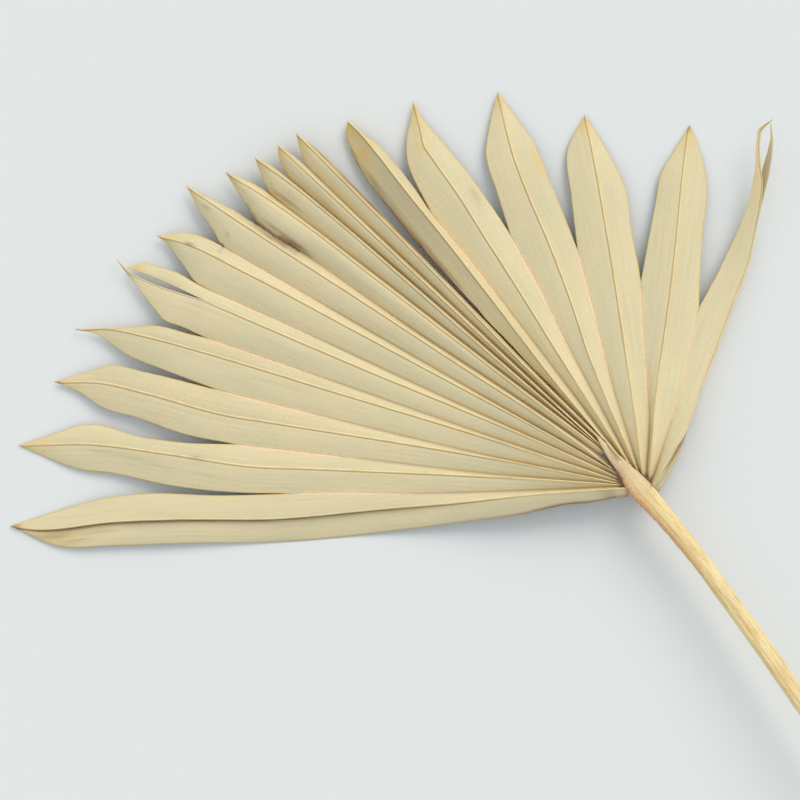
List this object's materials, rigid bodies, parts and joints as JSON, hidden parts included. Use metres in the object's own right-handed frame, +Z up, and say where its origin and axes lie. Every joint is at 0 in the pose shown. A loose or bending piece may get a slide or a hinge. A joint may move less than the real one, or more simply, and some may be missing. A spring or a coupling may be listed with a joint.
{
  "type": "fan palm leaf",
  "caption": "Dried fan palm leaf with pleated, pointed segments joined in a fan and a cut stalk, lying underside up.",
  "frame": {"origin": "bottom centre of the leaf's bounding box, on the surface that the leaf lies on", "axes": "+Z up from the surface, towards the leaf's upturned underside; +Y along the stalk, from its cut end towards the blade; +X to the right of the blade, seen from above"},
  "size_m": [0.3852, 0.398, 0.0309],
  "materials": {
    "blade": "matte",
    "stalk": "satin"
  },
  "bodies": {
    "root": {"segment_01": "blade", "segment_02": "blade", "segment_03": "blade", "segment_04": "blade", "segment_05": "blade", "segment_06": "blade", "segment_07": "blade", "segment_08": "blade", "segment_09": "blade", "segment_10": "blade", "segment_11": "blade", "segment_12": "blade", "segment_13": "blade", "segment_14": "blade", "segment_15": "blade", "segment_16": "blade", "segment_17": "blade", "petiole": "stalk"}
  },
  "joints": []
}
